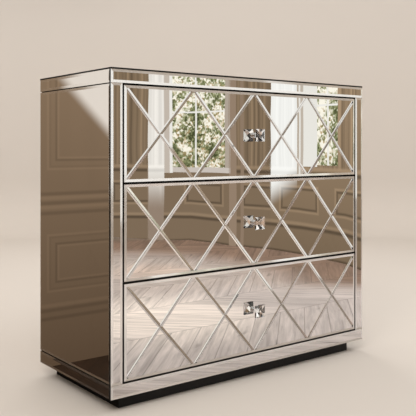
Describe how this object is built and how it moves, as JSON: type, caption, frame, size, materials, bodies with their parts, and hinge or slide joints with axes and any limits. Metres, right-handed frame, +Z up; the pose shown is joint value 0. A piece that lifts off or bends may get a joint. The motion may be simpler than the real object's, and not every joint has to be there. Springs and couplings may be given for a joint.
{
  "type": "mirrored chest of drawers",
  "caption": "Straight mirrored chest of drawers on a recessed plinth, with bevelled edge strips, fronts cut with a lattice of V grooves, and square crystal knobs.",
  "frame": {"origin": "middle of the bounding box in X and Y, on the floor under the plinth", "axes": "+X to the right seen from the front, +Y from the front to the back, +Z up"},
  "size_m": [0.9, 0.419, 0.825],
  "materials": {
    "mirror_glass": "silvered glass, polished, slightly warm, ground bevels",
    "knob_crystal": "clear cut crystal, polished facets",
    "knob_chrome": "bright chrome",
    "screw_steel": "zinc plated",
    "bearing_steel": "polished balls in a pressed cage",
    "runner_steel": "zinc plated",
    "plinth_paint": "board painted matt black",
    "front_paint": "board painted black-brown",
    "back_board": "brown hardboard",
    "box_board": "clear lacquered birch",
    "base_sheet": "thin birch plywood",
    "carcass_paint": "board painted black-brown"
  },
  "bodies": {
    "carcass": {"side_panel_left": "carcass_paint", "side_panel_right": "carcass_paint", "top_board": "carcass_paint", "base_board": "carcass_paint", "back_panel": "back_board", "back_panel_screws": "screw_steel", "face_stile_left": "carcass_paint", "face_stile_right": "carcass_paint", "face_rail_top": "carcass_paint", "face_rail_bottom": "carcass_paint", "divider_rails": "carcass_paint", "plinth_front": "plinth_paint", "plinth_back": "plinth_paint", "plinth_ends": "plinth_paint", "top_mirror": "mirror_glass", "top_strip_front": "mirror_glass", "top_strip_left": "mirror_glass", "top_strip_right": "mirror_glass", "base_strip_front": "mirror_glass", "base_strip_left": "mirror_glass", "base_strip_right": "mirror_glass", "stile_mirror_left": "mirror_glass", "stile_mirror_right": "mirror_glass", "side_mirror_left": "mirror_glass", "side_mirror_right": "mirror_glass", "runner_packers": "carcass_paint", "outer_runners": "runner_steel"},
    "bottom_drawer": {"bottom_drawer_mirror": "mirror_glass", "bottom_drawer_front": "front_paint", "bottom_drawer_side_left": "box_board", "bottom_drawer_side_right": "box_board", "bottom_drawer_back": "box_board", "bottom_drawer_base": "base_sheet", "bottom_inner_runners": "runner_steel", "bottom_knob_base": "knob_chrome", "bottom_knob_crystal": "knob_crystal", "bottom_knob_screw": "screw_steel"},
    "bottom_cages": {"bottom_ball_cages": "bearing_steel"},
    "middle_drawer": {"middle_drawer_mirror": "mirror_glass", "middle_drawer_front": "front_paint", "middle_drawer_side_left": "box_board", "middle_drawer_side_right": "box_board", "middle_drawer_back": "box_board", "middle_drawer_base": "base_sheet", "middle_inner_runners": "runner_steel", "middle_knob_base": "knob_chrome", "middle_knob_crystal": "knob_crystal", "middle_knob_screw": "screw_steel"},
    "middle_cages": {"middle_ball_cages": "bearing_steel"},
    "top_drawer": {"top_drawer_mirror": "mirror_glass", "top_drawer_front": "front_paint", "top_drawer_side_left": "box_board", "top_drawer_side_right": "box_board", "top_drawer_back": "box_board", "top_drawer_base": "base_sheet", "top_inner_runners": "runner_steel", "top_knob_base": "knob_chrome", "top_knob_crystal": "knob_crystal", "top_knob_screw": "screw_steel"},
    "top_cages": {"top_ball_cages": "bearing_steel"}
  },
  "joints": [
    {"name": "bottom_drawer_slide", "type": "slide", "parent": "carcass", "child": "bottom_drawer", "axis": [0, -1, 0], "range_m": [0, 0.26]},
    {"name": "bottom_cage_roll", "type": "slide", "parent": "carcass", "child": "bottom_cages", "axis": [0, -1, 0], "range_m": [0, 0.13]},
    {"name": "middle_drawer_slide", "type": "slide", "parent": "carcass", "child": "middle_drawer", "axis": [0, -1, 0], "range_m": [0, 0.26]},
    {"name": "middle_cage_roll", "type": "slide", "parent": "carcass", "child": "middle_cages", "axis": [0, -1, 0], "range_m": [0, 0.13]},
    {"name": "top_drawer_slide", "type": "slide", "parent": "carcass", "child": "top_drawer", "axis": [0, -1, 0], "range_m": [0, 0.26]},
    {"name": "top_cage_roll", "type": "slide", "parent": "carcass", "child": "top_cages", "axis": [0, -1, 0], "range_m": [0, 0.13]}
  ],
  "couplings": [
    {"joint": "bottom_cage_roll", "follows": "bottom_drawer_slide", "ratio": 0.5},
    {"joint": "middle_cage_roll", "follows": "middle_drawer_slide", "ratio": 0.5},
    {"joint": "top_cage_roll", "follows": "top_drawer_slide", "ratio": 0.5}
  ]
}
